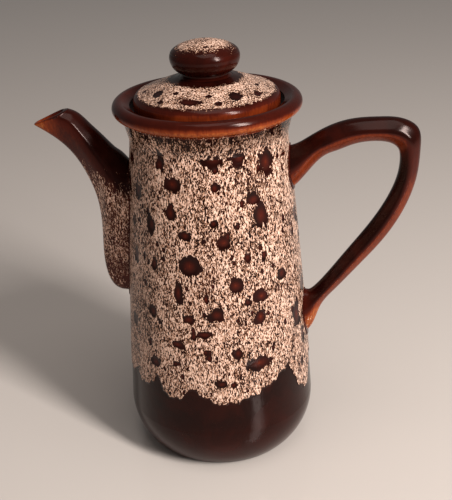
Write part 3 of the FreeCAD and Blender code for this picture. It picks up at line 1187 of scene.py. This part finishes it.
@dataclass
class Lid:
    """The lid with its knob and their coats of honeycomb glaze."""

    finishes: Finishes
    around: int = 260
    rows: int = 60
    dome_inner: Vector = field(default_factory=lambda: Vector((14.3, 0, 220.75)))
    dome_outer: Vector = field(default_factory=lambda: Vector((36.1, 0, 212.5)))
    dome_bulge: float = 0.9
    edge_round: float = 3.7
    edge_turn: tuple[float, float, int] = (90.0, 25.0, 14)
    edge_amber: Fade = Fade(214.0, 208.5, 0.42)
    cloud: float = 0.18
    ring_inner: float = 18.5
    ring_outer: float = 38.0
    ring_fades: Pair = (8.0, 5.0)
    knob_radius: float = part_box("lid_knob")[1].x / MM
    knob_top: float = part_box("lid_knob")[1].z / MM
    knob_widest: float = 231.2
    knob_fullness: float = 0.41
    cap_radius: float = 16.4
    cap_fade: float = 11.0
    crown_steps: int = 24
    crown_margin: float = 0.6
    knob_thinness: float = 0.06
    knob_cloud: float = 0.14
    rise: Pair = (0.3, 0.8)
    spot_thin: float = 0.1
    thickness: float = 0.5
    bare_skin: float = 0.05
    backing: float = 0.6

    def edge_thin(self, graph: Graph) -> Socket:
        """Amber on the lid's upright edge."""
        return graph.fade(graph.axes()[1], self.edge_amber)

    def knob_thin(self, graph: Graph) -> float:
        """The same trace of amber all over the knob."""
        return self.knob_thinness

    def dome(self) -> list[Vector]:
        """The lid's top from the knob's foot out over its shoulder.

        Returns:
            Points in millimetres.
        """
        inner, outer = self.dome_inner, self.dome_outer
        middle = (inner + outer) / 2 + Vector((self.dome_bulge, 0, 0))
        lever = middle * 2 - (inner + outer) / 2
        top = quadratic(inner, lever, outer, self.rows)
        center = outer - Vector((0, 0, self.edge_round))
        turns = np.radians(np.linspace(*self.edge_turn))
        return top + [center + Vector((math.cos(t), 0, math.sin(t))) * self.edge_round for t in turns]

    def crown(self) -> list[Vector]:
        """The knob's top from its axis out towards its widest line.

        Returns:
            Points in millimetres.
        """
        side, top = Vector((self.knob_radius, 0, self.knob_widest)), Vector((0, 0, self.knob_top))
        bends = (self.knob_fullness, self.knob_fullness)
        whole = quarter(top, Vector((self.knob_radius, 0, self.knob_top)), side, bends, self.crown_steps)
        return [point for point in whole if point.x < self.knob_radius - self.crown_margin]

    def ring_cover(self, radii: Array) -> Array:
        """The cover of the lid's ring by distance from the axis."""
        inward, outward = radii - self.ring_inner, self.ring_outer - radii
        return EDGE_COVER + np.minimum(inward / self.ring_fades[0], outward / self.ring_fades[1])

    def cap_cover(self, radii: Array) -> Array:
        """The cover of the knob's cap by distance from the axis."""
        return EDGE_COVER + (self.cap_radius - radii) / self.cap_fade

    def coat(self, name: str, outside: Points, closed: bool,
             cover_at: Callable[[Array], Array], spots: Sequence[Spot]) -> Piece:
        """A skin that follows a run of points, as thick as the glaze lies, with a back below it.

        Args:
            name: The piece's name.
            outside: The run from the axis outwards, in millimetres.
            closed: Whether it is a ring rather than a cap.
            cover_at: Gives the cover by distance from the axis.
            spots: The bare spots.

        Returns:
            The piece, painted with its cover and spots.
        """
        behind = [point - Vector((0, 0, self.backing)) for point in outside[::-1]]
        outline = [point * MM for point in list(outside) + behind]
        piece = turned_skin(name, outline, closed, self.around)
        places = corners_of(piece) / MM
        degrees, radii = polar(places)
        cover, spot = cover_at(radii), spot_depth(spots, degrees, radii, radii)
        grown = self.bare_skin + (self.thickness - self.bare_skin) * coat_share(cover, spot, self.rise)
        run = np.interp(radii, [p.x for p in outside], [p.z for p in outside])
        places[:, 2] += np.where(places[:, 2] - run > -self.backing / 2, grown, 0)
        move_corners(piece, places * MM)
        paint(piece, cover=np.clip(cover, 0, 1), spot=spot)
        return piece

    def build(self) -> None:
        """Dresses the lid and the knob and lays their coats of honeycomb glaze."""
        dress_node("lid", self.finishes.brown_on("lid_glaze", self.edge_thin, self.cloud))
        dress_node("lid_knob", self.finishes.brown_on("knob_glaze", self.knob_thin, self.knob_cloud))
        ring = self.coat("lid_honeycomb", self.dome(), True, self.ring_cover, LID_SPOTS)
        material = self.finishes.both_on("lid_honeycomb", self.edge_thin, self.spot_thin)
        settle(ring, Body.LID, Slot.HONEYCOMB, material, "glaze_coat_lid")
        cap = self.coat("knob_honeycomb", self.crown(), False, self.cap_cover, KNOB_SPOTS)
        material = self.finishes.both_on("knob_honeycomb", self.knob_thin, self.spot_thin)
        settle(cap, Body.LID, Slot.HONEYCOMB, material, "glaze_coat_knob")


LAMPS = (
    Lamp("window", (0.81, -0.656, 0.82), (0.2, 0.75), 24.0, (1.0, 0.96, 0.92)),
    Lamp("ceiling", (0.3, -0.5, 2.6), (1.6, 1.6), 18.0, (1.0, 0.95, 0.9)),
)


@dataclass
class Studio:
    """The pale floor, the soft lights and the camera at the photograph's angle."""

    floor_radius: float = 4.0
    floor_segments: int = 96
    floor_colour: Colour = (0.6, 0.54, 0.5, 1)
    floor_roughness: float = 0.14
    room_colour: Colour = (0.95, 0.9, 0.87, 1)
    room_strength: float = 0.18
    lamp_target: Triple = (0.0, 0.0, 0.12)
    azimuth: float = math.radians(9.0)
    distance: float = 0.5248
    height: float = 0.3585
    pitch: float = math.radians(24.67)
    roll: float = math.radians(-2.75)
    yaw: float = math.radians(0.70)
    lens: float = 72.0
    sensor: float = 36.0
    clip_start: float = 0.01

    def floor(self) -> None:
        """A wide pale disc under the pot."""
        bm = bmesh.new()
        bmesh.ops.create_circle(bm, cap_ends=True, segments=self.floor_segments,
                                radius=self.floor_radius)
        floor = piece_from("floor", bm)
        material = bpy.data.materials.new("floor")
        material.use_nodes = True
        shader = next(n for n in material.node_tree.nodes if n.type == "BSDF_PRINCIPLED")
        shader.inputs["Base Color"].default_value = self.floor_colour
        shader.inputs["Roughness"].default_value = self.floor_roughness
        floor.data.materials.append(material)

    def lights(self) -> None:
        """A tall window to the front right, a soft fill from above and an even room."""
        for name, place, size, power, colour in LAMPS:
            data = bpy.data.lights.new(name, "AREA")
            data.shape = "RECTANGLE"
            data.size, data.size_y = size
            data.energy = power
            data.color = colour
            lamp = bpy.data.objects.new(name, data)
            lamp.location = place
            towards = Vector(self.lamp_target) - Vector(place)
            lamp.rotation_euler = towards.to_track_quat("-Z", "Y").to_euler()
            bpy.context.scene.collection.objects.link(lamp)
        world = bpy.data.worlds.new("room")
        bpy.context.scene.world = world
        world.use_nodes = True
        room = next(n for n in world.node_tree.nodes if n.type == "BACKGROUND")
        room.inputs["Color"].default_value = self.room_colour
        room.inputs["Strength"].default_value = self.room_strength

    def camera(self) -> None:
        """The camera, as fitted to the photograph."""
        data = bpy.data.cameras.new("photo_camera")
        data.lens = self.lens
        data.sensor_width = self.sensor
        data.clip_start = self.clip_start
        camera = bpy.data.objects.new("photo_camera", data)
        place = Matrix.Translation((0, -self.distance, self.height))
        aim = Matrix.Rotation(-self.yaw, 4, "Z") @ Matrix.Rotation(math.pi / 2 - self.pitch, 4, "X")
        turned = place @ aim @ Matrix.Rotation(self.roll, 4, "Z")
        camera.matrix_world = Matrix.Rotation(self.azimuth, 4, "Z") @ turned
        bpy.context.scene.collection.objects.link(camera)
        bpy.context.scene.camera = camera

    def build(self) -> None:
        """Sets the stage."""
        self.floor()
        self.lights()
        self.camera()
        bpy.context.scene.view_settings.view_transform = "Standard"


def main() -> None:
    """Dresses the pot piece by piece and sets the stage."""
    logging.basicConfig(level=logging.INFO, format="%(message)s")
    finishes = Finishes()
    barrel = Barrel()
    barrel.dress(finishes)
    BodyCoat(barrel, finishes).build()
    Spout(barrel, finishes).build()
    Handle(barrel, finishes).build()
    Joints(finishes).dress()
    Lid(finishes).build()
    Studio().build()


if __name__ == "__main__":
    main()
